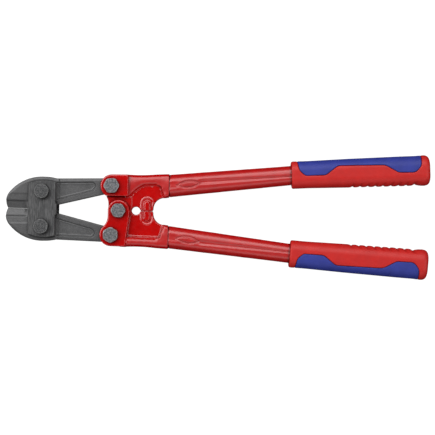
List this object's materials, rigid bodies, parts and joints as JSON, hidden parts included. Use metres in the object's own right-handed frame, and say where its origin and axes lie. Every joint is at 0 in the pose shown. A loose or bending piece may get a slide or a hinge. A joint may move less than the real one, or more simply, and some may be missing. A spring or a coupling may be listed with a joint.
{
  "type": "bolt cutters",
  "caption": "Compound-action bolt cutters with forged jaws, link plates, red tubular handles and two-colour oval grips.",
  "frame": {"origin": "middle of the closed tool's length and width, on the plane of the five nuts' undersides", "axes": "+X runs from the jaws to the grips, +Y across the tool towards the upper handle, +Z out of the front face with the bolt heads"},
  "size_m": [0.4607, 0.1362, 0.0377],
  "materials": {
    "forged_steel": "dark phosphated forging, satin",
    "black_fastener": "dark oiled steel, satin",
    "zinc_fastener": "dull zinc plate",
    "red_enamel": "powder coat, semi-gloss",
    "red_grip": "moulded plastic, satin",
    "blue_inlay": "soft moulded plastic, matt"
  },
  "bodies": {
    "link_plates": {"front_link_plate": "forged_steel", "rear_link_plate": "forged_steel", "upper_jaw_bolt": "black_fastener", "lower_jaw_bolt": "black_fastener", "upper_jaw_nut": "black_fastener", "lower_jaw_nut": "black_fastener"},
    "upper_jaw": {"upper_jaw": "forged_steel"},
    "lower_jaw": {"lower_jaw": "forged_steel"},
    "upper_handle": {"upper_handle_head": "red_enamel", "upper_handle_tube": "red_enamel", "upper_handle_bolt": "zinc_fastener", "upper_handle_nut": "zinc_fastener", "upper_grip": "red_grip", "upper_grip_inlay": "blue_inlay"},
    "lower_handle": {"lower_handle_head": "red_enamel", "lower_handle_tube": "red_enamel", "lower_handle_bolt": "zinc_fastener", "lower_handle_nut": "zinc_fastener", "lower_grip": "red_grip", "lower_grip_inlay": "blue_inlay", "centre_bolt": "zinc_fastener", "centre_nut": "zinc_fastener"}
  },
  "joints": [
    {"name": "upper_jaw_pivot", "type": "hinge", "parent": "link_plates", "child": "upper_jaw", "pos_m": [-0.1905, 0.0191, 0.01965], "axis": [0, 0, -1], "range_deg": [0, 8.34]},
    {"name": "lower_jaw_pivot", "type": "hinge", "parent": "link_plates", "child": "lower_jaw", "pos_m": [-0.1905, -0.0191, 0.01965], "axis": [0, 0, 1], "range_deg": [0, 8.34]},
    {"name": "upper_handle_pivot", "type": "hinge", "parent": "upper_jaw", "child": "upper_handle", "pos_m": [-0.1152, 0.0266, 0.01965], "axis": [0, 0, 1], "range_deg": [0, 50]},
    {"name": "lower_handle_pivot", "type": "hinge", "parent": "lower_jaw", "child": "lower_handle", "pos_m": [-0.1152, -0.0266, 0.01965], "axis": [0, 0, -1], "range_deg": [0, 50]}
  ],
  "couplings": [
    {"joint": "lower_handle_pivot", "follows": "upper_handle_pivot", "ratio": 1},
    {"joint": "upper_jaw_pivot", "follows": "upper_handle_pivot", "ratio": 0.1667},
    {"joint": "lower_jaw_pivot", "follows": "upper_handle_pivot", "ratio": 0.1667}
  ]
}
